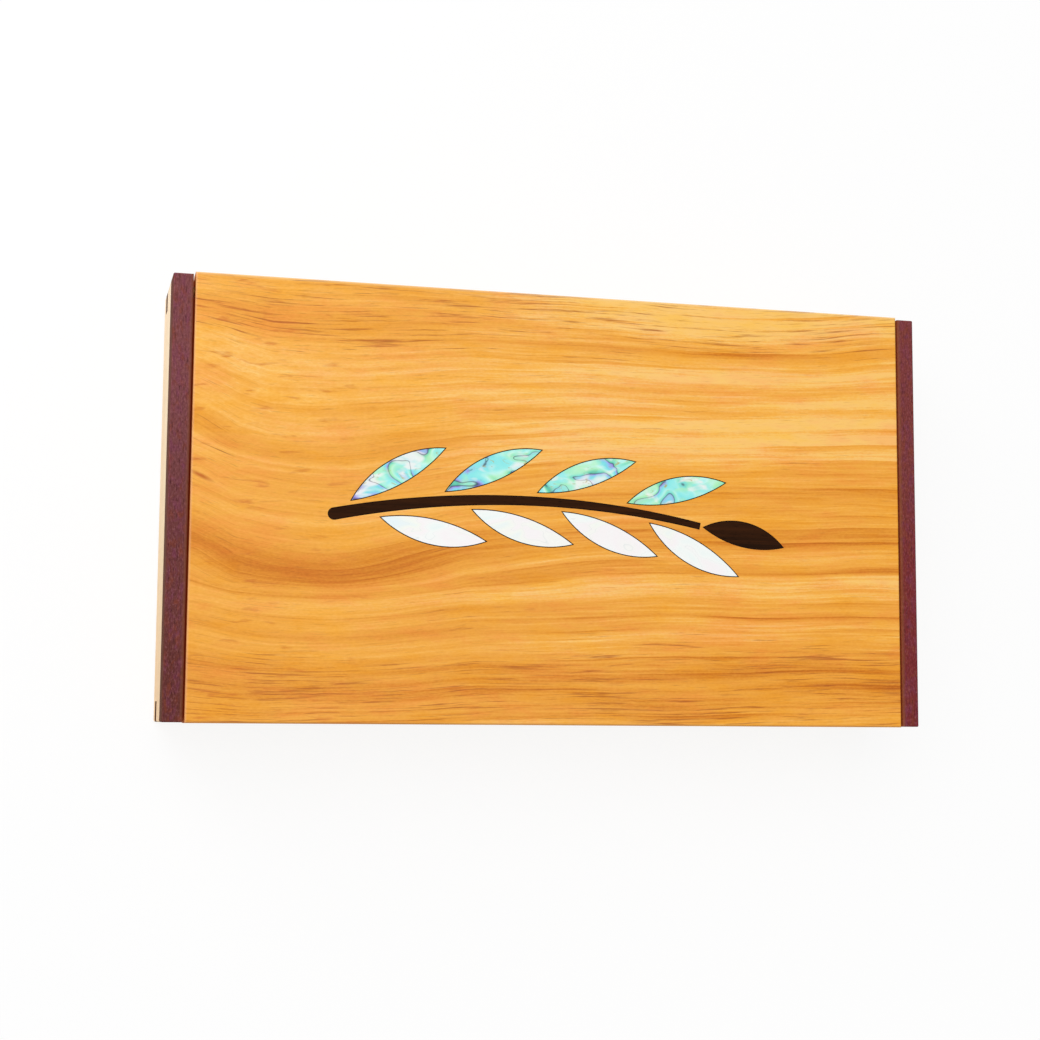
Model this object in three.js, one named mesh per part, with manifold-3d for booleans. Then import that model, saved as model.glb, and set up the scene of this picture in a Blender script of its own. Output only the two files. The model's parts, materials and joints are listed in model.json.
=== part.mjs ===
// A small lidded trinket box, in millimetres: +X to the right, +Y to the back, +Z up,
// with its origin at the middle of the base.
//
// Four mitred walls of pale wood hold a thin floor panel in their grooves, and a dark key
// crosses each corner. A dark rail is glued along the top of each end wall. The thick lid
// swings between the two rails on a pair of hidden brass pins, and a spray of shell and
// dark wood leaves is let into its top.

import * as THREE from "three";
import { mergeVertices } from "three/addons/utils/BufferGeometryUtils.js";
import Module from "manifold-3d";

const wasm = await Module();
wasm.setup();

// The box as a whole
const boxLength = 240;
const boxDepth = 133;
const wallHeight = 27.5;
const wallThickness = 6;
const cornerRadius = 0.5;
const easedEdge = 0.4;
const glueLine = 0.1;

// Floor panel, its groove and the felt on it
const floorThickness = 4;
const floorLift = 3;
const grooveDepth = 2.5;
const grooveClearance = 0.2;
const floorPlay = 0.4;
const feltThickness = 1.5;
const feltMargin = 0.4;

// Corner keys
const keyLeg = 6.2;
const keyThickness = 6.4;
const keyLift = 6.4;

// Finger scoop at the middle of the front wall's top edge
const scoopWidth = 28;
const scoopHeight = 6.5;
const scoopReach = 3.2;

// End rails, of which the right one is planed a little narrower
const leftRailWidth = 6;
const rightRailWidth = 5.5;

// Lid and hinge. The lid's board has swelled across its grain since it was fitted, so it
// stands a hair proud of the walls and rails in front and more behind.
const lidThickness = 10.5;
const lidSideGap = 0.6;
const lidProudInFront = 0.2;
const lidProudBehind = 0.7;
const lidOpenAngle = 100;
const stopClearance = 0.05;
const pinDiameter = 3;
const pinReachIntoLid = 14;
const pinReachIntoRail = 4;
const railBoreClearance = 0.1;
const lidBoreClearance = 0.3;
const boreEndClearance = 0.5;

// Inlaid spray of leaves
const inlayThickness = 1.8;
const inlayBed = 0.2;
const inlayClearance = 0.3;
const sprayOffsetX = -13;
const sprayOffsetY = -1;
const stemSpan = 116;
const stemRise = 6;
const stemBaseWidth = 3.2;
const stemTipWidth = 1.6;
const leavesPerSide = 4;
const firstLeafFromBase = 6;
const lastLeafFromTip = 16;
const staggerBetweenSides = 8;
const leafLength = 33;
const leafOuterBulge = 4.6;
const leafInnerBulge = 2.9;
const leafSpread = 20;
const leafSetback = 1.7;
const endLeafLength = 27;

// Facets
const leafArcSteps = 14;
const stemSteps = 28;
const roundSteps = 10;
const pinSides = 28;
const scoopSides = 40;
const scoopRings = 20;

const halfLength = boxLength / 2;
const halfDepth = boxDepth / 2;
const betweenRails = boxLength - leftRailWidth - rightRailWidth;
const lidLength = betweenRails - 2 * lidSideGap;
const lidDepth = boxDepth + lidProudInFront + lidProudBehind;
const lidCentreX = (leftRailWidth - rightRailWidth) / 2;
const hingeRadius = lidThickness / 2;
const hingeFromBack = hingeRadius - lidProudBehind;
const hingeY = halfDepth - hingeFromBack;
const hingeZ = wallHeight + hingeRadius;
const pinRadius = pinDiameter / 2;
const pinLength = pinReachIntoRail + lidSideGap + pinReachIntoLid;
const quarterTurn = Math.PI / 2;
const X = new THREE.Vector3(1, 0, 0);
const Y = new THREE.Vector3(0, 1, 0);
const Z = new THREE.Vector3(0, 0, 1);

const paleWood = new THREE.MeshStandardMaterial({ color: 0xeccfa4, roughness: 0.55 });
const goldenWood = new THREE.MeshStandardMaterial({ color: 0xe59b3f, roughness: 0.42 });
const darkRedWood = new THREE.MeshStandardMaterial({ color: 0x6e3b3a, roughness: 0.5 });
const blackWood = new THREE.MeshStandardMaterial({ color: 0x24130d, roughness: 0.5 });
const blueShell = new THREE.MeshStandardMaterial({ color: 0x6fcfc8, roughness: 0.2 });
const whiteShell = new THREE.MeshStandardMaterial({ color: 0xf4f5ef, roughness: 0.2 });
const greenFelt = new THREE.MeshStandardMaterial({ color: 0x1f2f28, roughness: 0.95 });
const floorWood = new THREE.MeshStandardMaterial({ color: 0xd9b884, roughness: 0.6 });
const brass = new THREE.MeshStandardMaterial({ color: 0xc9a24b, roughness: 0.3, metalness: 1 });

// Joining and cutting

// A three.js geometry as a solid that can be joined and cut
function solidOf(geometry) {
  const bare = geometry.index ? geometry.toNonIndexed() : geometry.clone();
  bare.deleteAttribute("normal");
  bare.deleteAttribute("uv");
  const merged = mergeVertices(bare, 1e-4);
  return new wasm.Manifold(
    new wasm.Mesh({
      numProp: 3,
      vertProperties: new Float32Array(merged.attributes.position.array),
      triVerts: new Uint32Array(merged.index.array),
    }),
  );
}

function geometryOf(solid) {
  const { vertProperties, triVerts } = solid.getMesh();
  const geometry = new THREE.BufferGeometry();
  geometry.setAttribute("position", new THREE.BufferAttribute(vertProperties, 3));
  geometry.setIndex(new THREE.BufferAttribute(triVerts, 1));
  geometry.computeVertexNormals();
  return geometry;
}

function cut(solid, ...cutters) {
  return cutters.reduce((left, cutter) => left.subtract(cutter), solid);
}

// A profile drawn in the plane across an axis, and extruded along it

function extruded(shape, depth, curveSegments = roundSteps) {
  return new THREE.ExtrudeGeometry(shape, { depth, bevelEnabled: false, curveSegments });
}

// Profile in Y and Z, centred on x = 0
function alongX(shape, length) {
  const geometry = extruded(shape, length).translate(0, 0, -length / 2);
  return geometry.applyMatrix4(new THREE.Matrix4().makeBasis(Y, Z, X));
}

// Profile in X and Z, centred on y = 0
function alongY(shape, length) {
  const geometry = extruded(shape, length).translate(0, 0, -length / 2);
  return geometry.applyMatrix4(new THREE.Matrix4().makeBasis(X, Z, Y.clone().negate()));
}

// Outline in X and Y, from a bottom to a top
function upright(shape, bottom, top, curveSegments) {
  return extruded(shape, top - bottom, curveSegments).translate(0, 0, bottom);
}

function polygon(points) {
  return new THREE.Shape(points.map(([x, y]) => new THREE.Vector2(x, y)));
}

function block(width, depth, height, centreX, centreY, centreZ) {
  return new THREE.BoxGeometry(width, depth, height).translate(centreX, centreY, centreZ);
}

function rodAlongX(radius, length, x, y, z) {
  const rod = new THREE.CylinderGeometry(radius, radius, length, pinSides);
  return rod.rotateZ(quarterTurn).translate(x, y, z);
}

function roundedRectangle(width, depth, radius) {
  const w = width / 2;
  const d = depth / 2;
  return new THREE.Shape()
    .moveTo(-w + radius, -d)
    .lineTo(w - radius, -d)
    .absarc(w - radius, -d + radius, radius, -quarterTurn, 0)
    .lineTo(w, d - radius)
    .absarc(w - radius, d - radius, radius, 0, quarterTurn)
    .lineTo(-w + radius, d)
    .absarc(-w + radius, d - radius, radius, quarterTurn, 2 * quarterTurn)
    .lineTo(-w, -d + radius)
    .absarc(-w + radius, -d + radius, radius, 2 * quarterTurn, 3 * quarterTurn);
}

// Walls

// Each wall is made lying along X with its outer face at y = 0 and its inner face at
// y = wallThickness, and is turned about Z into its place.

// The moulded section: a groove for the floor inside, and an eased edge below outside
function wallSection() {
  const grooveTop = floorLift + floorThickness + grooveClearance;
  const grooveBottom = wallThickness - grooveDepth;
  return polygon([
    [easedEdge, 0],
    [wallThickness, 0],
    [wallThickness, floorLift],
    [grooveBottom, floorLift],
    [grooveBottom, grooveTop],
    [wallThickness, grooveTop],
    [wallThickness, wallHeight],
    [0, wallHeight],
    [0, easedEdge],
  ]);
}

// The triangle of a corner key in plan, with its right angle at a corner of the box.
// side is -1 for the left end of a wall and 1 for its right end.
function keyTriangle(cornerX, side, leg) {
  return polygon([
    [cornerX, 0],
    [cornerX - side * leg, 0],
    [cornerX, leg],
  ]);
}

function keySlot(length, side) {
  const slotLeg = keyLeg + glueLine * Math.SQRT2;
  const outline = keyTriangle((side * length) / 2, side, slotLeg);
  return upright(outline, keyLift - glueLine, keyLift + keyThickness + glueLine);
}

// A wall of the given outer length, in a box whose other side has the given width
function mitredWall(length, across) {
  const inset = glueLine / Math.SQRT2;
  const mitred = polygon([
    [-length / 2 + inset, 0],
    [length / 2 - inset, 0],
    [length / 2 - wallThickness - inset, wallThickness],
    [-length / 2 + wallThickness + inset, wallThickness],
  ]);
  const outline = upright(roundedRectangle(length, across, cornerRadius), 0, wallHeight);
  const moulding = solidOf(alongX(wallSection(), length))
    .intersect(solidOf(upright(mitred, 0, wallHeight)))
    .intersect(solidOf(outline.translate(0, across / 2, 0)));
  return cut(moulding, solidOf(keySlot(length, -1)), solidOf(keySlot(length, 1)));
}

// The scoop that a fingertip reaches into to lift the lid
function fingerScoop() {
  const scoop = new THREE.SphereGeometry(1, scoopSides, scoopRings);
  scoop.scale(scoopWidth / 2, scoopReach, scoopHeight);
  return solidOf(scoop.translate(0, 0, wallHeight));
}

// The bevel on the back wall's top that the open lid leans on. The lid's back face is
// hingeRadius from the pins all the way round, so the bevel is a plane at that distance,
// and it stops at the rails.
function stopBevel() {
  const lean = THREE.MathUtils.degToRad(lidOpenAngle - 90);
  const reach = 4 * wallThickness;
  const depth = 2 * wallThickness;
  const cutter = block(betweenRails, reach, depth, -lidCentreX, 0, 0);
  cutter.translate(0, 0, depth / 2 - hingeRadius - stopClearance);
  cutter.rotateX(lean);
  return solidOf(cutter.translate(0, hingeFromBack, hingeZ));
}

function wallMesh(name, solid, x, y, turns) {
  const mesh = new THREE.Mesh(geometryOf(solid), paleWood);
  mesh.name = name;
  mesh.position.set(x, y, 0);
  mesh.rotation.z = turns * quarterTurn;
  return mesh;
}

function walls() {
  const group = new THREE.Group();
  const longWall = mitredWall(boxLength, boxDepth);
  const endWall = mitredWall(boxDepth, boxLength);
  group.add(wallMesh("front_wall", cut(longWall, fingerScoop()), 0, -halfDepth, 0));
  group.add(wallMesh("right_end_wall", endWall, halfLength, 0, 1));
  group.add(wallMesh("back_wall", cut(longWall, stopBevel()), 0, halfDepth, 2));
  group.add(wallMesh("left_end_wall", endWall, -halfLength, 0, 3));
  return group;
}

// Corner keys, flush with both faces of their corner
function cornerKeys() {
  const group = new THREE.Group();
  const triangle = upright(keyTriangle(0, 1, keyLeg), keyLift, keyLift + keyThickness);
  const rounding = upright(roundedRectangle(boxLength, boxDepth, cornerRadius), 0, wallHeight);
  const key = solidOf(triangle).intersect(solidOf(rounding.translate(-halfLength, halfDepth, 0)));
  const corners = [
    ["front_right_key", halfLength, -halfDepth, 0],
    ["back_right_key", halfLength, halfDepth, 1],
    ["back_left_key", -halfLength, halfDepth, 2],
    ["front_left_key", -halfLength, -halfDepth, 3],
  ];
  for (const [name, x, y, turns] of corners) {
    const mesh = new THREE.Mesh(geometryOf(key), darkRedWood);
    mesh.name = name;
    mesh.position.set(x, y, 0);
    mesh.rotation.z = turns * quarterTurn;
    group.add(mesh);
  }
  return group;
}

// Floor panel in its grooves, and the felt glued on it. The saw that cuts the key slots
// trims any corner of the panel that it reaches.
function floor() {
  const group = new THREE.Group();
  const inset = 2 * (wallThickness - grooveDepth + floorPlay);
  const panelZ = floorLift + floorThickness / 2;
  const panel = block(boxLength - inset, boxDepth - inset, floorThickness, 0, 0, panelZ);
  const slots = [-1, 1].flatMap((side) => {
    const slot = keySlot(boxLength, side).translate(0, -halfDepth, 0);
    return [solidOf(slot), solidOf(slot.clone().rotateZ(Math.PI))];
  });
  const panelMesh = new THREE.Mesh(geometryOf(cut(solidOf(panel), ...slots)), floorWood);
  panelMesh.name = "floor_panel";
  const feltInset = 2 * (wallThickness + feltMargin);
  const felt = block(boxLength - feltInset, boxDepth - feltInset, feltThickness, 0, 0, 0);
  const feltMesh = new THREE.Mesh(felt, greenFelt);
  feltMesh.name = "felt_lining";
  feltMesh.position.z = floorLift + floorThickness + feltThickness / 2;
  return group.add(panelMesh, feltMesh);
}

// End rails

// A rail's section in X and Z, with its outer face at x = 0. side is 1 for the right end
// and -1 for the left end.
function railSection(side, width) {
  return polygon([
    [0, 0],
    [0, lidThickness - easedEdge],
    [-side * easedEdge, lidThickness],
    [-side * (width - easedEdge), lidThickness],
    [-side * width, lidThickness - easedEdge],
    [-side * width, 0],
  ]);
}

// A rail's side view in Y and Z, which eases the top edges of its two ends
function railSideView() {
  return polygon([
    [-halfDepth, 0],
    [halfDepth, 0],
    [halfDepth, lidThickness - easedEdge],
    [halfDepth - easedEdge, lidThickness],
    [easedEdge - halfDepth, lidThickness],
    [-halfDepth, lidThickness - easedEdge],
  ]);
}

function endRail(side, width) {
  const outline = upright(roundedRectangle(boxLength, boxDepth, cornerRadius), 0, lidThickness);
  const bar = solidOf(alongY(railSection(side, width), boxDepth))
    .intersect(solidOf(alongX(railSideView(), 4 * width)))
    .intersect(solidOf(outline.translate(-side * halfLength, 0, 0)));
  const boreRadius = pinRadius + railBoreClearance;
  const boreLength = 2 * (pinReachIntoRail + boreEndClearance);
  const bore = rodAlongX(boreRadius, boreLength, -side * width, hingeY, hingeRadius);
  return cut(bar, solidOf(bore));
}

function rails() {
  const group = new THREE.Group();
  group.position.z = wallHeight;
  const ends = [
    ["left_end_rail", -1, leftRailWidth],
    ["right_end_rail", 1, rightRailWidth],
  ];
  for (const [name, side, width] of ends) {
    const mesh = new THREE.Mesh(geometryOf(endRail(side, width)), darkRedWood);
    mesh.name = name;
    mesh.position.x = side * halfLength;
    group.add(mesh);
  }
  return group;
}

// Hinge pins, driven into blind bores in the rails, so that nothing shows outside
function hingePins() {
  const group = new THREE.Group();
  group.position.set(lidCentreX, hingeY, hingeZ);
  for (const [name, side] of [["left_hinge_pin", -1], ["right_hinge_pin", 1]]) {
    const mesh = new THREE.Mesh(rodAlongX(pinRadius, pinLength, 0, 0, 0), brass);
    mesh.name = name;
    mesh.position.x = side * (betweenRails / 2 + pinReachIntoRail - pinLength / 2);
    group.add(mesh);
  }
  return group;
}

// Inlay outlines

// A pointed leaf lying along X, centred, made of two arcs: one bulges up by bulgeUp, the
// other down by bulgeDown. margin moves both arcs outwards, for the pocket round it.
function leafShape(length, bulgeUp, bulgeDown, margin) {
  const half = length / 2;
  const radiusUp = (half * half + bulgeUp * bulgeUp) / (2 * bulgeUp);
  const radiusDown = (half * half + bulgeDown * bulgeDown) / (2 * bulgeDown);
  const centreUp = bulgeUp - radiusUp;
  const centreDown = radiusDown - bulgeDown;
  const outerUp = radiusUp + margin;
  const outerDown = radiusDown + margin;
  const between = centreDown - centreUp;
  const rise = (between * between + outerUp * outerUp - outerDown * outerDown) / (2 * between);
  const tipY = centreUp + rise;
  const tipX = Math.sqrt(outerUp * outerUp - rise * rise);
  const up = Math.atan2(tipY - centreUp, tipX);
  const down = Math.atan2(centreDown - tipY, tipX);
  return new THREE.Shape()
    .absarc(0, centreUp, outerUp, up, Math.PI - up)
    .absarc(0, centreDown, outerDown, Math.PI + down, 2 * Math.PI - down);
}

// The arc that the stem follows, from its base at share 0 to its tip at share 1
const stemRadius = (stemSpan * stemSpan) / (8 * stemRise) + stemRise / 2;
const stemHalfAngle = Math.asin(stemSpan / 2 / stemRadius);

function stemPoint(share, offset) {
  const angle = quarterTurn + stemHalfAngle * (1 - 2 * share);
  const radius = stemRadius + offset;
  return new THREE.Vector2(
    radius * Math.cos(angle),
    radius * Math.sin(angle) - stemRadius + stemRise / 2,
  );
}

function stemHeading(share) {
  return stemHalfAngle * (1 - 2 * share);
}

function stemHalfWidth(share) {
  return THREE.MathUtils.lerp(stemBaseWidth, stemTipWidth, share) / 2;
}

// The stem tapers from a half-round base to a square tip
function stemShape(margin) {
  const upper = [];
  const lower = [];
  for (let step = 0; step <= stemSteps; step++) {
    const share = (step / stemSteps) * (1 + margin / stemSpan);
    const halfWidth = stemHalfWidth(share) + margin;
    upper.push(stemPoint(share, halfWidth));
    lower.push(stemPoint(share, -halfWidth));
  }
  const base = [];
  for (let step = 1; step < roundSteps; step++) {
    const angle = stemHeading(0) + quarterTurn + (step / roundSteps) * Math.PI;
    const reach = new THREE.Vector2(stemHalfWidth(0) + margin, 0);
    base.push(stemPoint(0, 0).add(reach.rotateAround(new THREE.Vector2(), angle)));
  }
  return new THREE.Shape([...lower, ...upper.reverse(), ...base]);
}

// Every piece of the spray: its name, material, outline and place. The leaves above the
// stem are blue shell and those below it white shell, and a dark one ends the spray.
function sprayPieces() {
  const pieces = [];
  const addLeaf = (name, material, length, share, side) => {
    const slant = side * THREE.MathUtils.degToRad(leafSpread);
    const heading = stemHeading(share) + slant;
    const foot = side * (stemHalfWidth(share) + leafSetback);
    const start = side === 0 ? stemPoint(1, 0) : stemPoint(share, foot);
    const lead = length / 2 + (side === 0 ? leafSetback : 0);
    const [bulgeUp, bulgeDown] =
      side < 0 ? [leafInnerBulge, leafOuterBulge] : [leafOuterBulge, leafInnerBulge];
    pieces.push({
      name,
      material,
      shape: (margin) => leafShape(length, bulgeUp, bulgeDown, margin),
      x: start.x + lead * Math.cos(heading),
      y: start.y + lead * Math.sin(heading),
      angle: heading,
    });
  };
  const stagger = staggerBetweenSides / stemSpan;
  const first = firstLeafFromBase / stemSpan;
  const last = 1 - lastLeafFromTip / stemSpan - stagger;
  for (let n = 0; n < leavesPerSide; n++) {
    const share = THREE.MathUtils.lerp(first, last, n / (leavesPerSide - 1));
    addLeaf(`blue_shell_leaf_${n + 1}`, blueShell, leafLength, share, 1);
    addLeaf(`white_shell_leaf_${n + 1}`, whiteShell, leafLength, share + stagger, -1);
  }
  addLeaf("dark_end_leaf", blackWood, endLeafLength, 1, 0);
  pieces.push({ name: "dark_stem", material: blackWood, shape: stemShape, x: 0, y: 0, angle: 0 });
  return pieces;
}

// Lid

// The lid is made about the axis of its hinge pins, so that turning its group about X
// opens it.

// Its section across the grain: square in front, and rounded about the pins at the back
// below, so that it clears the back wall as it opens
function lidSection() {
  const front = hingeRadius - lidDepth;
  return new THREE.Shape()
    .moveTo(front + easedEdge, -hingeRadius)
    .lineTo(0, -hingeRadius)
    .absarc(0, 0, hingeRadius, -quarterTurn, 0)
    .lineTo(hingeRadius, hingeRadius - easedEdge)
    .lineTo(hingeRadius - easedEdge, hingeRadius)
    .lineTo(front + easedEdge, hingeRadius)
    .lineTo(front, hingeRadius - easedEdge)
    .lineTo(front, easedEdge - hingeRadius);
}

// Its section along the grain, which eases the top edges of its two ends
function lidEndSection() {
  const half = lidLength / 2;
  return polygon([
    [-half, -hingeRadius],
    [half, -hingeRadius],
    [half, hingeRadius - easedEdge],
    [half - easedEdge, hingeRadius],
    [-half + easedEdge, hingeRadius],
    [-half, hingeRadius - easedEdge],
  ]);
}

function placed(geometry, piece) {
  return geometry.rotateZ(piece.angle).translate(piece.x, piece.y, 0);
}

function lid() {
  const group = new THREE.Group();
  group.position.set(lidCentreX, hingeY, hingeZ);
  const sprayY = sprayOffsetY - hingeY;
  const pieces = sprayPieces();

  const boreRadius = pinRadius + lidBoreClearance;
  const boreDepth = pinReachIntoLid + boreEndClearance;
  const bores = [-1, 1].map((side) => {
    const boreX = (side * lidLength) / 2;
    return solidOf(rodAlongX(boreRadius, 2 * boreDepth, boreX, 0, 0));
  });
  const pocketDepth = inlayThickness + inlayBed;
  const pockets = pieces.map((piece) => {
    const outline = piece.shape(inlayClearance);
    const pocket = upright(outline, -pocketDepth, pocketDepth, leafArcSteps);
    return solidOf(placed(pocket, piece).translate(sprayOffsetX, sprayY, hingeRadius));
  });
  const board = solidOf(alongX(lidSection(), lidLength)).intersect(
    solidOf(alongY(lidEndSection(), 3 * lidDepth)),
  );
  const boardMesh = new THREE.Mesh(geometryOf(cut(board, ...bores, ...pockets)), goldenWood);
  boardMesh.name = "lid_board";
  group.add(boardMesh);

  const spray = new THREE.Group();
  spray.position.set(sprayOffsetX, sprayY, hingeRadius);
  for (const piece of pieces) {
    const slice = upright(piece.shape(0), -inlayThickness, 0, leafArcSteps);
    const mesh = new THREE.Mesh(slice, piece.material);
    mesh.name = piece.name;
    mesh.position.set(piece.x, piece.y, 0);
    mesh.rotation.z = piece.angle;
    spray.add(mesh);
  }
  return group.add(spray);
}

const trinketBox = new THREE.Group();
trinketBox.add(walls(), cornerKeys(), floor(), rails(), hingePins(), lid());

export default trinketBox;
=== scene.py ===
import json
import math

import bmesh
import bpy
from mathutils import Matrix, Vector

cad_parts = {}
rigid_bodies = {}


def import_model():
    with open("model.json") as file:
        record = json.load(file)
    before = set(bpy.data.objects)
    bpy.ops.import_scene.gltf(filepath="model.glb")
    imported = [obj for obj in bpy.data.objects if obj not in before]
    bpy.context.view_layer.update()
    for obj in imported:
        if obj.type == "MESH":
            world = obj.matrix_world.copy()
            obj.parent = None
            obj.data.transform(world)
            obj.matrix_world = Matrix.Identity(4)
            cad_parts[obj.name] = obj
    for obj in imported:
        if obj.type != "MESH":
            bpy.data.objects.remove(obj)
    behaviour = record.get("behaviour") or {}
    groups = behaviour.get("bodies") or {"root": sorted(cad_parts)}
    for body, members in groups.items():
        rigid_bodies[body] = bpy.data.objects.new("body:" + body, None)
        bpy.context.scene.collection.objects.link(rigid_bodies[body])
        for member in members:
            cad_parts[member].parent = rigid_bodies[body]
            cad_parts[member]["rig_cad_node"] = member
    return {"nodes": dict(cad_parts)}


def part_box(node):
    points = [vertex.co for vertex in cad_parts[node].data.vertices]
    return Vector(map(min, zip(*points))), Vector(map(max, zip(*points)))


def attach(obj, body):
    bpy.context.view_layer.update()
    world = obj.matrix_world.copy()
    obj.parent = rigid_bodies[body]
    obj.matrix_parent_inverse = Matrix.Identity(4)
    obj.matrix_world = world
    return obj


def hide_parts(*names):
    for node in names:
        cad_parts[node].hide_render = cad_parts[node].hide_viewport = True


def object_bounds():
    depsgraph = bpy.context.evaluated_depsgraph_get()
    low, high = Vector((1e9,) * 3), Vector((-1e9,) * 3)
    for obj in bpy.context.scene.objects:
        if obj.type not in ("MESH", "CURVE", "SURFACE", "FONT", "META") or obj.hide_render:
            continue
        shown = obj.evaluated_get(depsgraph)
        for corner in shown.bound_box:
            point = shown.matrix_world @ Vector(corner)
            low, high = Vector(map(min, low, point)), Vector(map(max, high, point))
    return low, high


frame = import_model()
cad_low, cad_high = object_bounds()

# Walls
# Four boards of pale, close-grained wood, planed to one thickness and glued at mitred corners.
# The front one has a scoop for a fingertip in its top edge, the back one a bevel that stops
# the open lid. Only their long edges are eased, because the mitres have to close tight.
mm = 0.001


def pick_up(piece):
    """Selects one piece and nothing else."""
    bpy.ops.object.select_all(action="DESELECT")
    piece.select_set(True)
    bpy.context.view_layer.objects.active = piece


def cut_out(node, name):
    """A copy of a node, its loose triangles joined into whole flat faces."""
    pick_up(frame["nodes"][node])
    bpy.ops.object.duplicate()
    piece = bpy.context.active_object
    piece.name = name
    piece.data.name = name
    piece.parent = None
    del piece["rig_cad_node"]
    bpy.ops.mesh.customdata_custom_splitnormals_clear()
    bpy.ops.object.mode_set(mode="EDIT")
    bpy.ops.mesh.select_all(action="SELECT")
    bpy.ops.mesh.remove_doubles(threshold=0.005 * mm)
    bpy.ops.mesh.dissolve_limited(angle_limit=math.radians(0.5))
    bpy.ops.object.mode_set(mode="OBJECT")
    return piece


def ease(piece, width, chosen=lambda middle: True, sharp=30, segments=2):
    """Rounds the sharp edges of a piece, or only those whose middles chosen() accepts."""
    pick_up(piece)
    bpy.ops.object.mode_set(mode="EDIT")
    bpy.ops.mesh.select_mode(type="EDGE")
    bpy.ops.mesh.select_all(action="DESELECT")
    edit = bmesh.from_edit_mesh(piece.data)
    for edge in edit.edges:
        middle = (edge.verts[0].co + edge.verts[1].co) / 2
        is_sharp = edge.is_manifold and edge.calc_face_angle() > math.radians(sharp)
        edge.select_set(is_sharp and chosen(middle))
    bmesh.update_edit_mesh(piece.data)
    bpy.ops.mesh.bevel(offset=width, segments=segments, affect="EDGES", clamp_overlap=True)
    bpy.ops.object.mode_set(mode="OBJECT")
    return piece


def smooth(piece):
    """Shades the rounded places smooth and keeps the flat faces flat."""
    pick_up(piece)
    bpy.ops.object.shade_smooth_by_angle(angle=math.radians(35))
    bpy.ops.object.modifier_add(type="WEIGHTED_NORMAL")
    piece.modifiers[-1].keep_sharp = True
    bpy.ops.object.modifier_apply(modifier=piece.modifiers[-1].name)
    return piece


def fit(piece, material, body, slot, *nodes):
    """Gives a piece its finish, and sets it on its body in place of its nodes."""
    piece.data.materials.clear()
    piece.data.materials.append(material)
    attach(piece, body)
    if nodes:
        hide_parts(*nodes)


def paint(code):
    """A screen colour such as #f5b254 as a shader colour."""
    parts = [int(code[i : i + 2], 16) / 255 for i in (1, 3, 5)]
    linear = [c / 12.92 if c <= 0.04045 else ((c + 0.055) / 1.055) ** 2.4 for c in parts]
    return (*linear, 1)


def feed(tree, socket, value):
    """Links a socket to another one, or sets its value."""
    if isinstance(value, bpy.types.NodeSocket):
        tree.links.new(value, socket)
    elif isinstance(value, str):
        socket.default_value = paint(value)
    else:
        socket.default_value = value


def add(tree, kind, inputs, **settings):
    """A shader node of a kind, with its inputs fed and its settings made."""
    made = tree.nodes.new("ShaderNode" + kind)
    for name, value in settings.items():
        setattr(made, name, value)
    for socket, value in inputs.items():
        feed(tree, made.inputs[socket], value)
    return made


def calc(tree, operation, *values):
    """One step of arithmetic on numbers or sockets."""
    return add(tree, "Math", dict(enumerate(values)), operation=operation).outputs[0]


def blend(tree, share, first, second, kind="MIX"):
    """Two colours laid over each other."""
    inputs = {0: share, 6: first, 7: second}
    return add(tree, "Mix", inputs, data_type="RGBA", blend_type=kind).outputs[2]


def steps(tree, share, stops, interpolation="LINEAR"):
    """A colour or grey that changes with share through the given stops."""
    made = add(tree, "ValToRGB", {0: share})
    made.color_ramp.interpolation = interpolation
    elements = made.color_ramp.elements
    elements.remove(elements[1])
    for n, (position, value) in enumerate(stops):
        element = elements[0] if n == 0 else elements.new(position)
        element.position = position
        element.color = paint(value) if isinstance(value, str) else (value, value, value, 1)
    return made.outputs[0]


def clouds(tree, place, size, detail=2, roughness=0.5, distortion=0, shift=0):
    """Soft noise from 0 to 1 whose patches are about size long, wide and high."""
    scale = [1 / length for length in size]
    moved = add(tree, "Mapping", {"Vector": place, "Scale": scale, "Location": [shift] * 3})
    inputs = {
        "Vector": moved.outputs[0],
        "Scale": 1,
        "Detail": detail,
        "Roughness": roughness,
        "Distortion": distortion,
    }
    return add(tree, "TexNoise", inputs).outputs[0]


def new_finish(name):
    """An empty material: its tree, its surface shader, and the place on the piece."""
    material = bpy.data.materials.new(name)
    material.use_nodes = True
    tree = material.node_tree
    place = add(tree, "TexCoord", {}).outputs["Object"]
    return material, tree, tree.nodes["Principled BSDF"], place


def dent(tree, shader, height, depth):
    """Presses a height pattern into the surface."""
    bump = add(tree, "Bump", {"Height": height, "Distance": depth, "Strength": 1})
    tree.links.new(bump.outputs[0], shader.inputs["Normal"])


def along_axis(axis, long, across):
    """The size of a pattern drawn out along one axis."""
    return [long if n == axis else across for n in range(3)]


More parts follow.
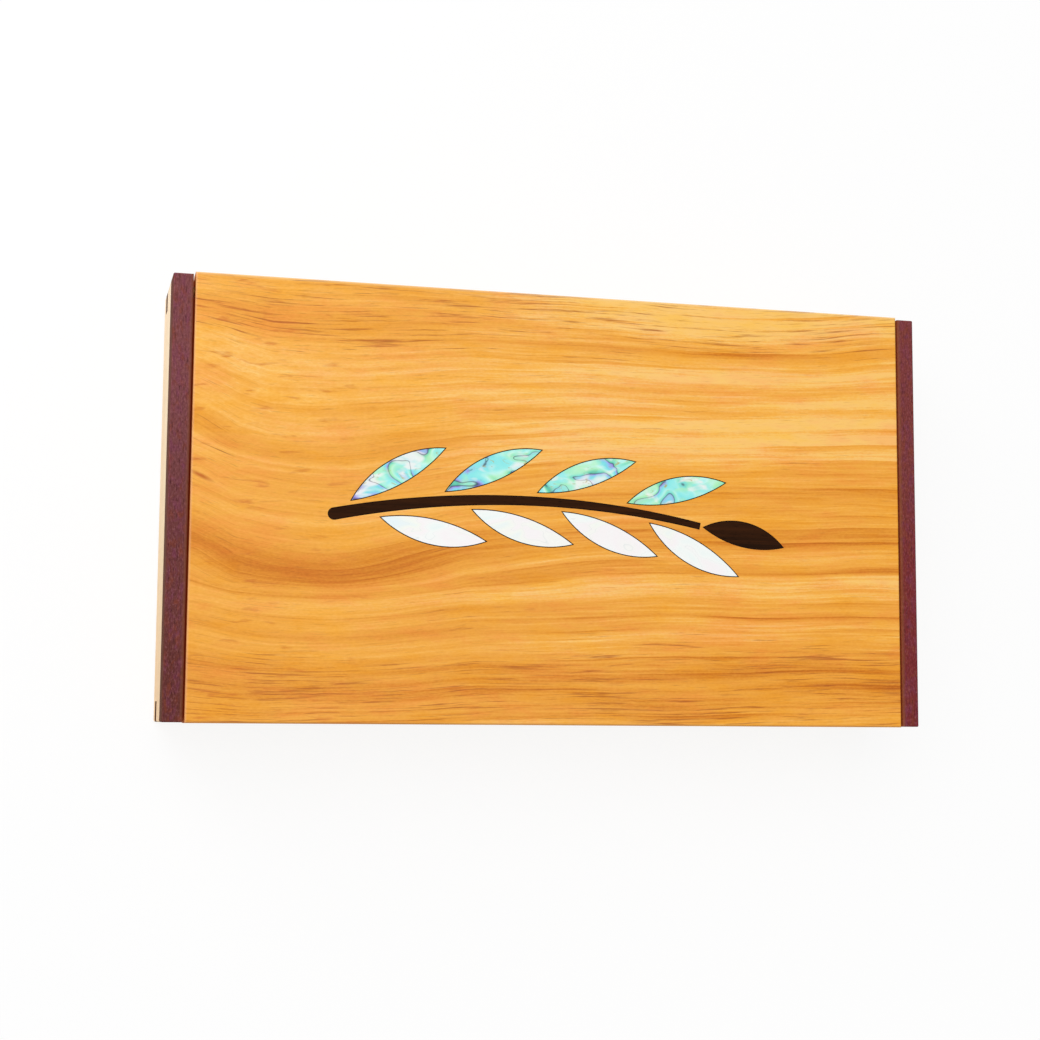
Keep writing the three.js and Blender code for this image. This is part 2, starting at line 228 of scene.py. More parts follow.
def straight_wood(name, axis, light, dark, pore, band=6 * mm, gloss=0.5, shine=0.3):
    """Plain wood with its grain along one axis: soft bands, fibres, and short fine pores."""
    material, tree, shader, place = new_finish(name)
    bands = clouds(tree, place, along_axis(axis, 160 * mm, band), detail=3, roughness=0.6)
    fibre_size = along_axis(axis, 16 * mm, 0.45 * mm)
    fibres = clouds(tree, place, fibre_size, detail=3, roughness=0.65, shift=7)
    tone = calc(tree, "MULTIPLY_ADD", bands, 0.9, calc(tree, "MULTIPLY", fibres, 0.6))
    wood = steps(tree, tone, [(0.5, dark), (0.95, light)])
    pores = clouds(tree, place, along_axis(axis, 2.2 * mm, 0.16 * mm), detail=1, shift=19)
    open_pores = steps(tree, pores, [(0.62, 0.0), (0.74, 0.75)])
    feed(tree, shader.inputs["Base Color"], blend(tree, open_pores, wood, pore))
    feed(tree, shader.inputs["Roughness"], calc(tree, "MULTIPLY_ADD", fibres, 0.12, gloss - 0.06))
    shader.inputs["Specular IOR Level"].default_value = shine
    height = calc(tree, "SUBTRACT", calc(tree, "MULTIPLY", fibres, 0.4), open_pores)
    dent(tree, shader, height, 0.02 * mm)
    return material


wall_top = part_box("front_wall")[1].z
wall_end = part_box("front_wall")[1].x
wall_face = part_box("back_wall")[1].y
wall_easing = 0.22 * mm
top_band = 8 * mm
foot_band = 1 * mm
mitre_band = 0.3 * mm


def on_a_long_edge(middle):
    """True away from the mitres, at a wall's top with its scoop, and along its foot."""
    to_end = wall_end - abs(middle.x)
    to_face = wall_face - abs(middle.y)
    on_mitre = abs(to_end - to_face) < mitre_band
    on_top = middle.z > wall_top - top_band
    at_foot = middle.z < foot_band
    return not on_mitre and (on_top or at_foot)


pale_along_x = straight_wood("pale_wood_along_x", 0, "#f0d6ac", "#e0bd8c", "#b98f5e")
pale_along_y = straight_wood("pale_wood_along_y", 1, "#f0d9b9", "#e0c19a", "#b9936a")

# The end walls are painted darker and more golden towards the front and paler to the back, as painted
# shade standing in for light from the window at the back left
tree = pale_along_y.node_tree
bare_wood = tree.nodes["Principled BSDF"].inputs["Base Color"].links[0].from_socket
place = add(tree, "TexCoord", {}).outputs["Object"]
y = add(tree, "SeparateXYZ", {0: place}).outputs[1]
to_back = calc(tree, "MULTIPLY_ADD", y, 0.5 / wall_face, 0.5)
painted_shade_to_front = steps(tree, to_back, [(0.0, "#fbefdd"), (0.5, "#f9f9f0"), (1.0, "#ffffff")])
wood_with_painted_shade = blend(tree, 1.0, bare_wood, painted_shade_to_front, "MULTIPLY")
feed(tree, tree.nodes["Principled BSDF"].inputs["Base Color"], wood_with_painted_shade)

for wall, finish in [
    ("front_wall", pale_along_x),
    ("back_wall", pale_along_x),
    ("left_end_wall", pale_along_y),
    ("right_end_wall", pale_along_y),
]:
    board = smooth(ease(cut_out(wall, wall + "_wood"), wall_easing, on_a_long_edge))
    fit(board, finish, "box", "pale_wood", wall)

# Corner keys
# Slips of dark wood let into a slot across each mitre to hold it, and sanded flush with
# both faces. Their grain crosses the corner, so each face shows it cut short.
key_colours = ["#5c3322", "#381c10", "#1e0c06"]
key_wood = straight_wood("key_wood", 2, *key_colours, band=2 * mm, gloss=0.8, shine=0.0)
for corner in ["front_left", "front_right", "back_left", "back_right"]:
    key = smooth(cut_out(corner + "_key", corner + "_key_wood"))
    fit(key, key_wood, "box", "rail_wood", corner + "_key")

# Floor panel
# A thin panel of a plainer board, held loose in grooves along the walls, so that it can
# swell and shrink without forcing them apart. It shows only from below.
panel_wood = straight_wood("panel_wood", 0, "#dcbd8c", "#c9a46e", "#a67f4c", gloss=0.6)
panel = smooth(cut_out("floor_panel", "floor_panel_wood"))
fit(panel, panel_wood, "box", "floor_wood", "floor_panel")

# Felt
# A sheet of dark green wool felt, cut to the inside of the box and glued on the panel. Its
# cut edge is soft, and its face is a little uneven.
felt_low, felt_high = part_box("felt_lining")
felt_size = felt_high - felt_low
felt_middle = (felt_low + felt_high) / 2
felt_step = 1.6 * mm
felt_edge = 0.5 * mm
felt_unevenness = 0.3 * mm

bpy.ops.object.select_all(action="DESELECT")
bpy.ops.mesh.primitive_cube_add(size=1, location=felt_middle)
felt = bpy.context.active_object
felt.name = "felt_sheet"
felt.scale = felt_size
bpy.ops.object.transform_apply(location=True, rotation=True, scale=True)
bpy.ops.object.mode_set(mode="EDIT")
bpy.ops.mesh.select_mode(type="EDGE")
bpy.ops.mesh.select_all(action="SELECT")
bpy.ops.mesh.bevel(offset=felt_edge, segments=3, affect="EDGES")
bpy.ops.mesh.select_all(action="DESELECT")
for axis in (0, 1):
    edit = bmesh.from_edit_mesh(felt.data)
    for edge in edit.edges:
        run = edge.verts[1].co - edge.verts[0].co
        edge.select_set(abs(run[axis]) > felt_size[axis] / 2)
    bmesh.update_edit_mesh(felt.data)
    cuts = round(felt_size[axis] / felt_step)
    bpy.ops.mesh.subdivide_edgering(number_cuts=cuts, interpolation="LINEAR")
bpy.ops.object.mode_set(mode="OBJECT")
felt_lumps = bpy.data.textures.new("felt_lumps", "CLOUDS")
felt_lumps.noise_scale = 9 * mm
felt_lumps.noise_depth = 2
bpy.ops.object.modifier_add(type="DISPLACE")
felt.modifiers[-1].texture = felt_lumps
felt.modifiers[-1].texture_coords = "LOCAL"
felt.modifiers[-1].strength = felt_unevenness
felt.modifiers[-1].mid_level = 0.9
bpy.ops.object.modifier_apply(modifier=felt.modifiers[-1].name)
bpy.ops.object.shade_smooth()

wool, tree, shader, place = new_finish("green_felt")
tufts = clouds(tree, place, [1.4 * mm] * 3, detail=4, roughness=0.7, distortion=1.5)
hairs = clouds(tree, place, [0.25 * mm] * 3, detail=2, distortion=3, shift=5)
nap = calc(tree, "MULTIPLY_ADD", tufts, 0.6, calc(tree, "MULTIPLY", hairs, 0.4))
green = steps(tree, nap, [(0.3, "#152a20"), (0.52, "#244434"), (0.75, "#3b5c4a")])
feed(tree, shader.inputs["Base Color"], green)
shader.inputs["Roughness"].default_value = 0.95
shader.inputs["Specular IOR Level"].default_value = 0.15
shader.inputs["Sheen Weight"].default_value = 0.35
shader.inputs["Sheen Roughness"].default_value = 0.5
dent(tree, shader, nap, 0.25 * mm)
fit(felt, wool, "box", "felt", "felt_lining")

# End rails
# Two bars of dense purple-brown wood, glued along the tops of the end walls. Each is planed
# flush outside and flush with the lid, and carries one of its hinge pins.
lid_gap_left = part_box("left_end_rail")[1].x
lid_gap_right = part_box("right_end_rail")[0].x
rail_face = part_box("right_end_rail")[1].x
rail_easing = 0.12 * mm


def fade(tree, value, first, last, at_first=0.0, at_last=1.0):
    """A number that goes evenly from one end to the other while value goes from first to last."""
    return add(tree, "MapRange", {0: value, 1: first, 2: last, 3: at_first, 4: at_last}).outputs[0]


rail_wood, tree, shader, place = new_finish("rail_wood")
x, y = add(tree, "SeparateXYZ", {0: place}).outputs[:2]
# The rails are painted darker towards the front, as painted shade for light falling off away from the
# back-left window, over a real drift in hue from brown at the front to purple at the back. The right
# rail is the redder one.
drift = clouds(tree, place, [60 * mm, 110 * mm, 60 * mm], detail=1, shift=4)
to_back = calc(tree, "MULTIPLY_ADD", y, 3.5, drift)
left_hue_shaded_to_front = steps(tree, to_back, [(0.25, "#653530"), (0.5, "#774446"), (0.75, "#804a4c")])
right_hue_shaded_to_front = steps(tree, to_back, [(0.25, "#7b2e30"), (0.5, "#7d3b39"), (0.75, "#803d3c")])
hue = blend(tree, calc(tree, "GREATER_THAN", x, 0.0), left_hue_shaded_to_front, right_hue_shaded_to_front)
figure = clouds(tree, place, [2.2 * mm, 5 * mm, 2.2 * mm], detail=3, roughness=0.6, distortion=0.6)
hue = blend(tree, steps(tree, figure, [(0.48, 0.0), (0.66, 0.5)]), hue, "#7c3c58")
rust = clouds(tree, place, [1.8 * mm, 4 * mm, 1.8 * mm], detail=2, distortion=0.6, shift=9)
hue = blend(tree, steps(tree, rust, [(0.52, 0.0), (0.68, 0.6)]), hue, "#84402c")
grit = clouds(tree, place, [0.5 * mm, 1.1 * mm, 0.5 * mm], detail=3, roughness=0.75, shift=15)
hue = blend(tree, steps(tree, grit, [(0.33, 0.55), (0.52, 0.0)]), hue, "#4f2a2a")
hue = blend(tree, steps(tree, grit, [(0.52, 0.0), (0.72, 0.45)]), hue, "#a06a6c")
pores = clouds(tree, place, [0.14 * mm, 2.4 * mm, 0.14 * mm], detail=1, shift=21)
open_pores = steps(tree, pores, [(0.62, 0.0), (0.72, 0.8)])
hue = blend(tree, open_pores, hue, "#38191a")

# The inner faces are painted bright orange-red as painted light, standing in for light bounced into
# the gap beside the lid, and a strip of the tops beside them is painted warmer brown
inner_face = (lid_gap_right - lid_gap_left) / 2
from_middle = calc(tree, "SUBTRACT", x, (lid_gap_right + lid_gap_left) / 2)
from_lid = calc(tree, "SUBTRACT", calc(tree, "ABSOLUTE", from_middle), inner_face)
warmed = fade(tree, from_lid, 0.1 * mm, 1.1 * mm, 0.6, 0.0)
hue = blend(tree, warmed, hue, "#8c5632")
painted_gap_light = fade(tree, from_lid, 0.02 * mm, 0.1 * mm, 0.6, 0.0)
hue = blend(tree, painted_gap_light, hue, steps(tree, grit, [(0.35, "#763a22"), (0.65, "#a25a3c")]))

# A faint red glow is painted on the inner faces by emission, a painted light standing in for light in
# the gap beside the lid
painted_gap_glow = steps(tree, grit, [(0.35, "#3c1206"), (0.65, "#5a1a05")])
feed(tree, shader.inputs["Emission Color"], blend(tree, painted_gap_light, "#000000", painted_gap_glow))
shader.inputs["Emission Strength"].default_value = 1

# The outer faces, and each top where it meets them, are painted darker and greyer as painted shade on
# faces and arrises that catch less light, and are made rougher
from_outside = calc(tree, "SUBTRACT", rail_face, calc(tree, "ABSOLUTE", x))
shaded_and_rough_outside = fade(tree, from_outside, 0.0, 0.3 * mm, 0.7, 0.0)
feed(tree, shader.inputs["Base Color"], blend(tree, shaded_and_rough_outside, hue, "#5a3c2c"))
roughness = calc(tree, "MULTIPLY_ADD", grit, 0.2, 0.52)
feed(tree, shader.inputs["Roughness"], calc(tree, "MULTIPLY_ADD", shaded_and_rough_outside, 0.3, roughness))
shader.inputs["Specular IOR Level"].default_value = 0.02
dent(tree, shader, calc(tree, "SUBTRACT", grit, open_pores), 0.02 * mm)

for rail in ["left_end_rail", "right_end_rail"]:
    bar = smooth(ease(cut_out(rail, rail + "_wood"), rail_easing))
    fit(bar, rail_wood, "box", "rail_wood", rail)

# Hinge pins
# Lengths of drawn brass rod with their ends chamfered, tarnished brown by now. They were
# pressed into the rails before the lid went in, so that they are out of sight.
pin_chamfer = 0.35 * mm
brass, tree, shader, place = new_finish("pin_brass")
drawn = clouds(tree, place, [9 * mm, 0.15 * mm, 0.15 * mm], detail=2)
feed(tree, shader.inputs["Base Color"], steps(tree, drawn, [(0.3, "#6b4822"), (0.7, "#94703a")]))
feed(tree, shader.inputs["Roughness"], calc(tree, "MULTIPLY_ADD", drawn, 0.25, 0.3))
shader.inputs["Metallic"].default_value = 1
for side in ["left", "right"]:
    pin = cut_out(side + "_hinge_pin", side + "_hinge_pin_brass")
    pin = smooth(ease(pin, pin_chamfer, sharp=60, segments=1))
    fit(pin, brass, "box", "pin_brass", side + "_hinge_pin")

# Lid board
# One thick board of golden, oiled timber with its grain along the box. Near its left end the
# growth rings sag in a deep bowl below a curl, where a branch once stood.
lid_low, lid_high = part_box("lid_board")
lid_middle = (lid_low + lid_high) / 2
lid_easing = 0.15 * mm

# The rings tilt a little against the board's edge, and lean as they go down through it
ring_tilt = 0.02
tilt_from = 85 * mm
ring_lean = 0.8
year_width = 4.5 * mm

# Where the rings leave their line, in millimetres: how far they sag, and the share of it at
# places along the board and across it
sags = [
    (
        18,
        [(-125, 0.1), (-112, 0.35), (-100, 0.8), (-72, 1.05), (-50, 0.8), (-30, 0.5), (30, 0.0)],
        [(-66, 0.0), (-45, 0.3), (-31, 0.4), (-24, 1.0), (-14, 0.7), (12, 0.7), (32, 0.4), (60, 0.0)],
    ),
    (-9, [(-125, 1.0), (-108, 0.8), (-90, 0.0)], [(15, 0.0), (42, 1.2), (62, 0.0)]),
    (4, [(0, 0.0), (60, 1.2), (115, 0.0)], [(5, 0.0), (50, 1.0), (75, 1.0)]),
]

# How light the wood is at each ring, in millimetres from the board's middle line
rings_at_right = [
    (-66, 0.55), (-53, 0.15), (-45, 0.3), (-38, 0.6), (-28, 0.35), (-22, 0.8), (-17.5, 0.8),
    (-16.5, 0.1), (-12, 0.6), (-5, 0.25), (1, 0.6), (7, 0.3), (12, 0.5), (15, 0.35),
    (22, 0.85), (31, 1.0), (33, 0.6), (37, 0.9), (41, 0.6), (46, 0.9), (51, 0.5), (55, 0.3),
    (58, 0.7), (61, 0.85),
]
rings_at_left = [
    (-66, 0.55), (-50, 0.3), (-43, 0.35), (-36, 0.65), (-33, 0.4), (-26, 0.6), (-18, 0.55),
    (-12, 0.4), (-5, 0.02), (3, 0.45), (10, 0.7), (18, 0.55), (24, 0.75),
    (26, 0.3), (30, 0.4), (33, 0.75), (38, 0.6), (50, 0.85), (61, 0.35), (66, 0.6),
]

golden, tree, shader, place = new_finish("lid_wood")


def by_place(where, stops, interpolation="B_SPLINE"):
    """A number that changes with a place, through stops given in millimetres."""
    first = stops[0][0]
    last = stops[-1][0]
    shares = [((at - first) / (last - first), number) for at, number in stops]
    return steps(tree, fade(tree, where, first * mm, last * mm), shares, interpolation)


def shifted(tone, pattern, amount):
    """A tone made lighter or darker by a pattern."""
    return calc(tree, "MULTIPLY_ADD", calc(tree, "SUBTRACT", pattern, 0.5), amount, tone)


x, y, z = add(tree, "SeparateXYZ", {0: place}).outputs
ring_y = calc(tree, "MULTIPLY_ADD", calc(tree, "SUBTRACT", tilt_from, x), ring_tilt, y)
ring_y = calc(tree, "MULTIPLY_ADD", calc(tree, "SUBTRACT", z, lid_high.z), ring_lean, ring_y)
for depth, along, across in sags:
    share = calc(tree, "MULTIPLY", by_place(x, along), by_place(y, across))
    ring_y = calc(tree, "MULTIPLY_ADD", share, depth * mm, ring_y)
slow_wave = clouds(tree, place, [80 * mm, 45 * mm, 45 * mm], detail=1)
ring_y = shifted(ring_y, slow_wave, 5 * mm)
quick_wave = clouds(tree, place, [30 * mm, 8 * mm, 8 * mm], detail=2, shift=3)
ring_y = shifted(ring_y, quick_wave, 1.4 * mm)

at_right = by_place(ring_y, rings_at_right, "LINEAR")
at_left = by_place(ring_y, rings_at_left, "LINEAR")
ring_tone = blend(tree, by_place(x, [(-50, 1.0), (0, 0.0)]), at_right, at_left)

# Each year's growth darkens slowly and ends in a thin line, plain in some parts of the board
along_rings = add(tree, "CombineXYZ", {0: x, 1: ring_y}).outputs[0]
unevenly = clouds(tree, along_rings, [400 * mm, 9 * mm, 1], detail=1, shift=53)
years = calc(tree, "MULTIPLY_ADD", unevenly, 1.4, calc(tree, "DIVIDE", ring_y, year_width))
late_wood = steps(
    tree,
    calc(tree, "FRACT", years),
    [(0.0, 0.0), (0.55, 0.1), (0.9, 0.6), (0.95, 1.0), (1.0, 0.0)],
)
plain = clouds(tree, along_rings, [80 * mm, 9 * mm, 1], detail=1, shift=61)
plain = fade(tree, plain, 0.42, 0.65, 0.05, 0.6)
plain = calc(tree, "MULTIPLY", plain, by_place(x, [(-70, 0.2), (40, 1.0)]))

contrast = by_place(x, [(-113, 0.8), (20, 0.8), (80, 0.9)])
base_tone = by_place(x, [(-113, 0.22), (-60, 0.22), (0, 0.3), (30, 0.3), (80, 0.28), (113, 0.28)])
tone = calc(tree, "MULTIPLY_ADD", ring_tone, contrast, base_tone)
tone = calc(tree, "SUBTRACT", tone, calc(tree, "MULTIPLY", late_wood, plain))

# The grain is crisp at the right and softer in the bowl, and the curl is rippled
patches = clouds(tree, along_rings, [60 * mm, 12 * mm, 1], detail=2)
tone = shifted(tone, patches, 0.3)
crisp = by_place(x, [(-113, 0.45), (-60, 0.6), (0, 1.0)])
streaks = clouds(tree, along_rings, [120 * mm, 3 * mm, 1], detail=4, roughness=0.6, shift=2)
tone = shifted(tone, streaks, calc(tree, "MULTIPLY", crisp, 1.1))
coarse = clouds(tree, along_rings, [50 * mm, 7 * mm, 1], detail=1, shift=43)
coarse = fade(tree, coarse, 0.35, 0.65, 0.45, 1.2)
fibres = clouds(tree, along_rings, [34 * mm, 0.8 * mm, 1], detail=3, roughness=0.7, shift=11)
tone = shifted(tone, fibres, calc(tree, "MULTIPLY", crisp, coarse))
specks = clouds(tree, place, [1.2 * mm, 0.5 * mm, 0.5 * mm], detail=1, shift=17)
tone = shifted(tone, specks, 0.25)
curl_along = by_place(x, [(-125, 0.8), (-80, 0.75), (-50, 0.0)])
curl_across = by_place(y, [(5, 0.0), (35, 1.0), (60, 0.0)])
ripple = clouds(tree, place, [7 * mm, 3 * mm, 3 * mm], detail=3, roughness=0.6, shift=27)
tone = shifted(tone, ripple, calc(tree, "MULTIPLY", curl_along, curl_across))
wood = steps(
    tree,
    tone,
    [
        (0.0, "#bd6a1e"), (0.15, "#d07b28"), (0.3, "#de8d31"), (0.42, "#e79a3b"), (0.54, "#eea443"),
        (0.66, "#f3ac4a"), (0.78, "#f8b556"), (0.9, "#fbbf67"), (1.0, "#fdcb7a"),
    ],
)

# Dark dashes cluster along the front and the back edge, and orange smudges at the left end
pores = clouds(tree, along_rings, [7 * mm, 0.35 * mm, 1], detail=2, roughness=0.6, shift=71)
wood = blend(tree, steps(tree, pores, [(0.6, 0.0), (0.75, 0.4)]), wood, "#a9612a")
dashes = clouds(tree, along_rings, [24 * mm, 0.8 * mm, 1], detail=3, roughness=0.7, shift=31)
in_clusters = by_place(
    ring_y,
    [(-66, 0.9), (-57, 1.0), (-51, 1.7), (-46, 1.4), (-37, 0.0), (46, 0.0), (56, 1.0), (66, 1.0)],
)
dashes = shifted(dashes, in_clusters, 0.12)
dashes = shifted(dashes, patches, -0.25)
wood = blend(tree, steps(tree, dashes, [(0.6, 0.0), (0.72, 0.75)]), wood, "#a9592a")
smudges = clouds(tree, place, [11 * mm, 2 * mm, 2 * mm], detail=3, distortion=0.4, shift=83)
smudges = steps(tree, smudges, [(0.6, 0.0), (0.72, 0.65)])
smudges = calc(tree, "MULTIPLY", smudges, by_place(x, [(-113, 1.0), (-75, 0.8), (-50, 0.0)]))
wood = blend(tree, smudges, wood, "#cc6f30")

# A short red-brown fleck lies slantwise by the left end
fleck_x = -110.5 * mm
fleck_y = 6 * mm
fleck_slant = 2.0
fleck_slimness = 4.5
fleck_middle = (fleck_x, fleck_slant * fleck_x + fleck_slimness * fleck_y, 0)
slantwise = calc(tree, "MULTIPLY_ADD", x, fleck_slant, calc(tree, "MULTIPLY", y, fleck_slimness))
fleck_place = add(tree, "CombineXYZ", {0: x, 1: slantwise}).outputs[0]
from_fleck = add(tree, "VectorMath", {0: fleck_place, 1: fleck_middle}, operation="DISTANCE")
in_fleck = fade(tree, from_fleck.outputs["Value"], 1 * mm, 4.5 * mm, 0.8, 0.0)
wood = blend(tree, in_fleck, wood, "#b8541c")

# The colour wanders between warm and cool, and the right half is the more golden one
warmth = clouds(tree, place, [24 * mm, 7 * mm, 7 * mm], detail=5, roughness=0.7, shift=91)
warmth = steps(tree, warmth, [(0.34, "#fffad6"), (0.5, "#ffffff"), (0.66, "#fff1fa")])
wood = blend(tree, 1.0, wood, warmth, "MULTIPLY")
wood = blend(tree, by_place(x, [(10, 0.0), (70, 1.0)]), wood, "#fffbe6", "MULTIPLY")

# The edges are painted paler at the left end and the back, as painted highlights where the arrises
# face the light, and darker at the front, as painted shade on the arris turned from it.
# The end grain drank the oil, went deep orange and stayed rough.
from_left = calc(tree, "SUBTRACT", x, lid_low.x)
from_right = calc(tree, "SUBTRACT", lid_high.x, x)
from_back = calc(tree, "SUBTRACT", lid_high.y, y)
from_front = calc(tree, "SUBTRACT", y, lid_low.y)
for from_edge, reach, share, colour in [
    (from_left, 0.7, 0.45, "#e8bc98"),
    (from_back, 1.0, 0.5, "#ecd2a2"),
    (from_front, 0.8, 0.4, "#9c6c4c"),
]:
    wood = blend(tree, fade(tree, from_edge, 0.1 * mm, reach * mm, share, 0.0), wood, colour)
from_end = calc(tree, "MINIMUM", from_left, from_right)
on_end_grain = fade(tree, from_end, 0.02 * mm, 0.12 * mm, 0.8, 0.0)
end_grain = steps(tree, fibres, [(0.35, "#a2581a"), (0.65, "#c47624")])
feed(tree, shader.inputs["Base Color"], blend(tree, on_end_grain, wood, end_grain))
roughness = calc(tree, "MULTIPLY_ADD", fibres, 0.16, 0.34)
feed(tree, shader.inputs["Roughness"], calc(tree, "MULTIPLY_ADD", on_end_grain, 0.4, roughness))
shader.inputs["Specular IOR Level"].default_value = 0.12
dent(tree, shader, fibres, 0.012 * mm)

# The same painted glow as on the rails, by emission, lies on the lid's end grain at its side of the
# gap
painted_end_glow = blend(tree, on_end_grain, "#000000", "#421003")
feed(tree, shader.inputs["Emission Color"], painted_end_glow)
shader.inputs["Emission Strength"].default_value = 1

rim = 1.2 * mm
bore_reach = 8.5 * mm
bore_half_height = 2.2 * mm


def on_the_outside(middle):
    """True at the lid's outer edges, and not at a pocket's rim or in a bore."""
    at_end = min(middle.x - lid_low.x, lid_high.x - middle.x) < rim
    at_side = min(middle.y - lid_low.y, lid_high.y - middle.y) < rim
    near_back = middle.y > lid_high.y - bore_reach
    in_bore = near_back and abs(middle.z - lid_middle.z) < bore_half_height
    return (at_end or at_side) and not in_bore


lid = smooth(ease(cut_out("lid_board", "lid_board_wood"), lid_easing, on_the_outside))
fit(lid, golden, "lid", "lid_wood", "lid_board")

# Inlay of dark wood
# The stem of the spray and the leaf at its tip, sawn from near-black wood, glued into
# pockets in the lid and sanded flush with it.
dark_pieces = ["dark_stem", "dark_end_leaf"]
dark_colours = ["#3a1e0c", "#211107", "#0b0402"]
dark_inlay = straight_wood("inlay_wood", 0, *dark_colours, band=1.5 * mm, shine=0.03)


def face_with(finish, nodes):
    """Gives nodes their finish and leaves their shapes as they are."""
    for node in nodes:
        frame["nodes"][node].data.materials.clear()
        frame["nodes"][node].data.materials.append(finish)


face_with(dark_inlay, dark_pieces)

# Inlay of blue shell
# Leaves cut from the blue-green shell of a sea snail. Polishing cuts through its layers, so
# that thin dark lines wander over it between bands of turquoise, green, violet and pink.
blue_leaves = [f"blue_shell_leaf_{n}" for n in range(1, 5)]
blue_shell, tree, shader, place = new_finish("blue_shell")
flow = clouds(tree, place, [17 * mm, 12 * mm, 12 * mm], detail=2, roughness=0.45, distortion=0.9)
layer = calc(tree, "FRACT", calc(tree, "MULTIPLY", flow, 5))
lustre = steps(
    tree,
    layer,
    [
        (0.0, "#6a66bf"), (0.07, "#9a94e0"), (0.16, "#8fc4f4"), (0.3, "#74dfe6"), (0.5, "#9cf1ec"),
        (0.66, "#c9fbf0"), (0.8, "#aaf0c0"), (0.92, "#5fd2b0"), (1.0, "#2d8f86"),
    ],
)
glow = clouds(tree, place, [10 * mm, 7 * mm, 7 * mm], detail=2, distortion=0.8, shift=13)
lustre = blend(tree, steps(tree, glow, [(0.45, 0.0), (0.6, 0.75)]), lustre, "#8aecea")
green = clouds(tree, place, [9 * mm, 6 * mm, 6 * mm], detail=2, distortion=0.5, shift=37)
lustre = blend(tree, steps(tree, green, [(0.52, 0.0), (0.64, 0.65)]), lustre, "#b0f3b8")
blush = clouds(tree, place, [8 * mm, 5 * mm, 5 * mm], detail=2, distortion=0.5, shift=23)
lustre = blend(tree, steps(tree, blush, [(0.55, 0.0), (0.66, 0.85)]), lustre, "#f6f4f2")
amber = clouds(tree, place, [4.5 * mm, 2 * mm, 2 * mm], detail=3, distortion=1.5, shift=29)
lustre = blend(tree, steps(tree, amber, [(0.62, 0.0), (0.72, 0.8)]), lustre, "#b5a23c")
line = steps(tree, layer, [(0.0, 1.0), (0.05, 0.0), (0.965, 0.0), (1.0, 1.0)])
lustre = blend(tree, calc(tree, "MULTIPLY", line, 0.85), lustre, "#2a3350")
feed(tree, shader.inputs["Base Color"], lustre)
shader.inputs["Roughness"].default_value = 0.22
shader.inputs["Coat Weight"].default_value = 0.4
shader.inputs["Coat Roughness"].default_value = 0.08
dent(tree, shader, layer, 0.01 * mm)
face_with(blue_shell, blue_leaves)

# Inlay of white shell
# Leaves of mother-of-pearl, almost white, with a faint shift to blue-green and pink. They are
# glued into their pockets and polished flush with the lid, like the blue ones.
white_leaves = [f"white_shell_leaf_{n}" for n in range(1, 5)]
white_shell, tree, shader, place = new_finish("white_shell")
flow = clouds(tree, place, [22 * mm, 12 * mm, 12 * mm], detail=2, distortion=0.8, shift=41)
nacre = steps(
    tree,
    flow,
    [(0.3, "#e4f7f6"), (0.42, "#f7fbf8"), (0.52, "#faf5f6"), (0.6, "#f7faf2"), (0.72, "#e8f5f8")],
)
veins = calc(tree, "FRACT", calc(tree, "MULTIPLY", flow, 9))
fine_line = steps(tree, veins, [(0.0, 0.35), (0.06, 0.0), (1.0, 0.0)])
feed(tree, shader.inputs["Base Color"], blend(tree, fine_line, nacre, "#c9d8da"))
shader.inputs["Roughness"].default_value = 0.2
shader.inputs["Coat Weight"].default_value = 0.4
shader.inputs["Coat Roughness"].default_value = 0.08
dent(tree, shader, veins, 0.006 * mm)
face_with(white_shell, white_leaves)

# Glue lines
# Black epoxy that was squeezed up round each inlaid piece, filling the gap that the cutter
# left, and sanded off with the rest.
glue_width = 0.29 * mm
glue_sink = 0.02 * mm

glue_rings = []
for node in dark_pieces + blue_leaves + white_leaves:
    ring = cut_out(node, "glue_" + node)
    pick_up(ring)

    # Only the piece's upright sides stay, and get the thickness of the gap
    bpy.ops.object.mode_set(mode="EDIT")
    bpy.ops.mesh.select_mode(type="FACE")
    edit = bmesh.from_edit_mesh(ring.data)
    for face in edit.faces:
        face.select_set(abs(face.normal.z) > 0.5)
    bmesh.update_edit_mesh(ring.data)
    bpy.ops.mesh.delete(type="ONLY_FACE")
    bpy.ops.mesh.select_all(action="SELECT")
    bpy.ops.transform.translate(value=(0, 0, -glue_sink))
    bpy.ops.object.mode_set(mode="OBJECT")
    bpy.ops.object.modifier_add(type="SOLIDIFY")
    ring.modifiers[-1].thickness = glue_width
    ring.modifiers[-1].offset = 1
    ring.modifiers[-1].use_even_offset = True
    bpy.ops.object.modifier_apply(modifier=ring.modifiers[-1].name)
    glue_rings.append(ring)
bpy.ops.object.select_all(action="DESELECT")
for ring in glue_rings:
    ring.select_set(True)
bpy.context.view_layer.objects.active = glue_rings[0]
bpy.ops.object.join()
glue = bpy.context.active_object
glue.name = "glue_lines"

black_glue, tree, shader, place = new_finish("black_glue")
specks = clouds(tree, place, [0.4 * mm] * 3, detail=3)
feed(tree, shader.inputs["Base Color"], steps(tree, specks, [(0.35, "#0b0503"), (0.7, "#1c0f08")]))
shader.inputs["Roughness"].default_value = 0.5
shader.inputs["Specular IOR Level"].default_value = 0.05
dent(tree, shader, specks, 0.01 * mm)
fit(glue, black_glue, "lid", "inlay_wood")

# Camera
# It looks down on the lid from the front left, as the photograph does, from about 0.6 m away.
camera_data = bpy.data.cameras.new("camera")
camera_data.sensor_width = 36
camera_data.lens = 63.87
camera = bpy.data.objects.new("camera", camera_data)
camera.location = (-0.15417, -0.06448, 0.58432)
camera.rotation_euler = [math.radians(angle) for angle in (6.013, -14.517, 0.417)]
bpy.context.scene.collection.objects.link(camera)
bpy.context.scene.camera = camera


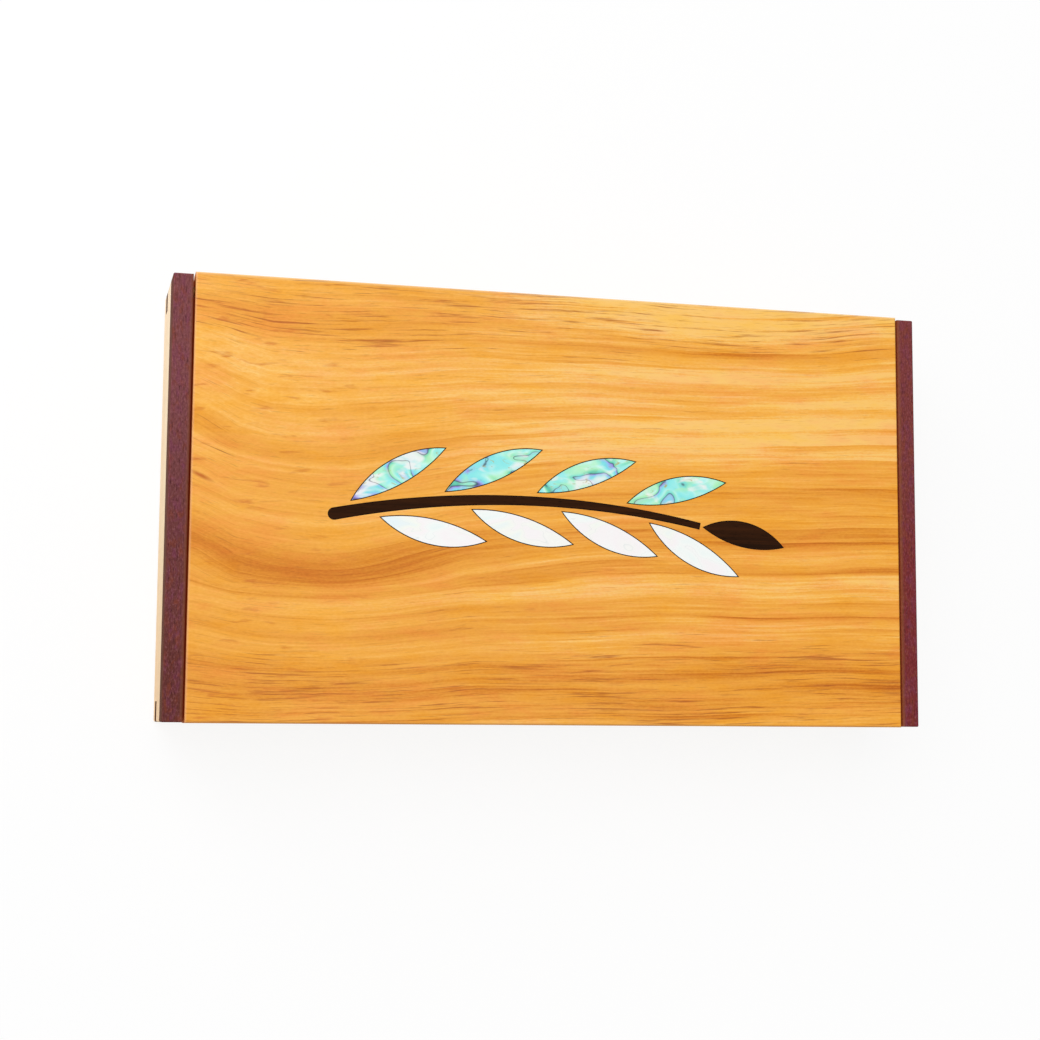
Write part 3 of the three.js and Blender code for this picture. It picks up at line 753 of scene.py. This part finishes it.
# Light
# A broad soft lamp overhead, a window low at the back left, and an even white surround that
# lights the box less strongly than it shows to the camera and in reflections.
def hang(name, kind, energy):
    """A lamp of a kind, hung in the scene."""
    lamp_data = bpy.data.lights.new(name, kind)
    lamp_data.energy = energy
    lamp = bpy.data.objects.new(name, lamp_data)
    bpy.context.scene.collection.objects.link(lamp)
    return lamp


soft_lamp = hang("soft_lamp", "SUN", 1.35)
soft_lamp.data.angle = math.radians(60)
soft_lamp.rotation_euler = Vector((-0.4, 0.4, 1)).to_track_quat("Z", "Y").to_euler()
window = hang("window", "AREA", 0.7)
window.data.size = 0.3
window.location = (-0.38, 0.36, 0.17)
window.rotation_euler = window.location.to_track_quat("Z", "Y").to_euler()

world = bpy.data.worlds.new("surround")
world.use_nodes = True
bpy.context.scene.world = world
tree = world.node_tree
tree.nodes.clear()
rays = add(tree, "LightPath", {}).outputs
reflected = calc(tree, "MAXIMUM", rays["Is Glossy Ray"], rays["Is Transmission Ray"])
seen = calc(tree, "MAXIMUM", rays["Is Camera Ray"], reflected)
ambient = 0.55
strength = calc(tree, "MULTIPLY_ADD", seen, 1 - ambient, ambient)
background = add(tree, "Background", {"Color": (1, 1, 1, 1), "Strength": strength})
add(tree, "OutputWorld", {0: background.outputs[0]})

# Floor
# A plain white table top that takes the box's shadow. Away from the box it is lifted to the
# white of the surround, so that it runs out with no edge.
bpy.ops.object.select_all(action="DESELECT")
bpy.ops.mesh.primitive_plane_add(size=12, location=(0, 0, cad_low.z))
table = bpy.context.active_object
table.name = "table_top"
white, tree, shader, place = new_finish("table_white")
weave = clouds(tree, place, [0.3] * 3)
feed(tree, shader.inputs["Base Color"], steps(tree, weave, [(0.0, 0.955), (1.0, 0.965)]))
shader.inputs["Roughness"].default_value = 0.9
shader.inputs["Specular IOR Level"].default_value = 0
from_box = add(tree, "VectorMath", {0: place}, operation="LENGTH").outputs["Value"]
lift = fade(tree, from_box, 0.35, 1.6, 0.85, 1.0)
lift = calc(tree, "MULTIPLY", add(tree, "LightPath", {}).outputs["Is Camera Ray"], lift)
white_light = add(tree, "Emission", {"Color": (1, 1, 1, 1), "Strength": 1.0}).outputs[0]
lifted = add(tree, "MixShader", {0: lift, 1: shader.outputs[0], 2: white_light}).outputs[0]
feed(tree, tree.nodes["Material Output"].inputs["Surface"], lifted)
table.data.materials.append(white)

bpy.context.scene.view_settings.view_transform = "Standard"
